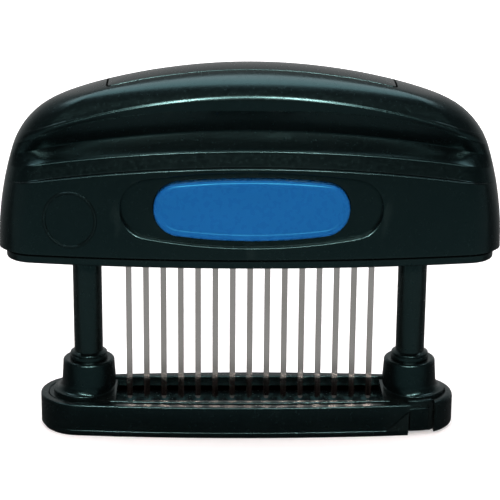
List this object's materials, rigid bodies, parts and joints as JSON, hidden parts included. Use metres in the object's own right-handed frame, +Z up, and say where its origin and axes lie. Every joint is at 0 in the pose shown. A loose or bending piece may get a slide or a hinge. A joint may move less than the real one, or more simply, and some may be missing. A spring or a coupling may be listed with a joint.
{
  "type": "blade meat tenderizer",
  "caption": "Hand meat tenderizer: a sprung arched handle slides on two posts and drives a row of knives through a slotted base, with side release buttons.",
  "frame": {"origin": "centre of the footprint, on the surface that the lower plate stands on", "axes": "+X along the length towards the latch end, +Y from the front to the rear, +Z up the posts"},
  "size_m": [0.15, 0.034, 0.112],
  "materials": {
    "body_plastic": "satin black moulded plastic with a faint green cast and a fine grain",
    "button_blue": "semi-gloss blue plastic",
    "knife_steel": "ground stainless steel with lengthwise grinding marks",
    "steel": "plain zinc-plated steel",
    "spring_steel": "drawn spring wire",
    "bush_plastic": "natural acetal",
    "washer_rubber": "black rubber"
  },
  "bodies": {
    "base": {"guide_deck": "body_plastic", "base_skirt": "body_plastic", "skirt_screws": "steel", "left_post": "body_plastic", "right_post": "body_plastic", "left_collar": "body_plastic", "right_collar": "body_plastic", "post_screws": "steel", "post_clips": "steel", "left_post_spring": "spring_steel", "right_post_spring": "spring_steel", "latch_pin": "steel"},
    "handle": {"handle_shell": "body_plastic", "handle_floor": "body_plastic", "floor_screws": "steel", "left_bush": "bush_plastic", "right_bush": "bush_plastic", "stop_washers": "washer_rubber", "spring_guides": "steel", "front_button_springs": "spring_steel", "rear_button_springs": "spring_steel"},
    "cartridge": {"cartridge_cap": "body_plastic", "front_carrier": "body_plastic", "rear_carrier": "body_plastic", "carrier_screws": "steel", "cap_screws": "steel", "knives": "knife_steel", "front_snap_arm": "body_plastic", "rear_snap_arm": "body_plastic"},
    "front_release": {"front_button": "button_blue"},
    "rear_release": {"rear_button": "button_blue"},
    "latch": {"base_latch": "body_plastic"},
    "plate": {"lower_plate": "body_plastic"}
  },
  "joints": [
    {"name": "handle_press", "type": "slide", "parent": "base", "child": "handle", "axis": [0, 0, -1], "range_m": [0, 0.0285], "stiffness_N_per_m": 700, "springref_m": -0.01, "deforming": ["left_post_spring", "right_post_spring"]},
    {"name": "cartridge_lift", "type": "slide", "parent": "handle", "child": "cartridge", "axis": [0, 0, 1], "range_m": [0, 0.11], "deforming": ["front_snap_arm", "rear_snap_arm"]},
    {"name": "front_button_press", "type": "slide", "parent": "handle", "child": "front_release", "axis": [0, 1, 0], "range_m": [0, 0.0015], "stiffness_N_per_m": 600, "springref_m": -0.001, "deforming": ["front_button_springs"]},
    {"name": "rear_button_press", "type": "slide", "parent": "handle", "child": "rear_release", "axis": [0, -1, 0], "range_m": [0, 0.0015], "stiffness_N_per_m": 600, "springref_m": -0.001, "deforming": ["rear_button_springs"]},
    {"name": "latch_swing", "type": "hinge", "parent": "base", "child": "latch", "pos_m": [0.0535, 0.0108, 0.006], "axis": [0, 0, 1], "range_deg": [0, 60]},
    {"name": "plate_drop", "type": "slide", "parent": "base", "child": "plate", "axis": [0, 0, -1], "range_m": [0, 0.015]}
  ]
}
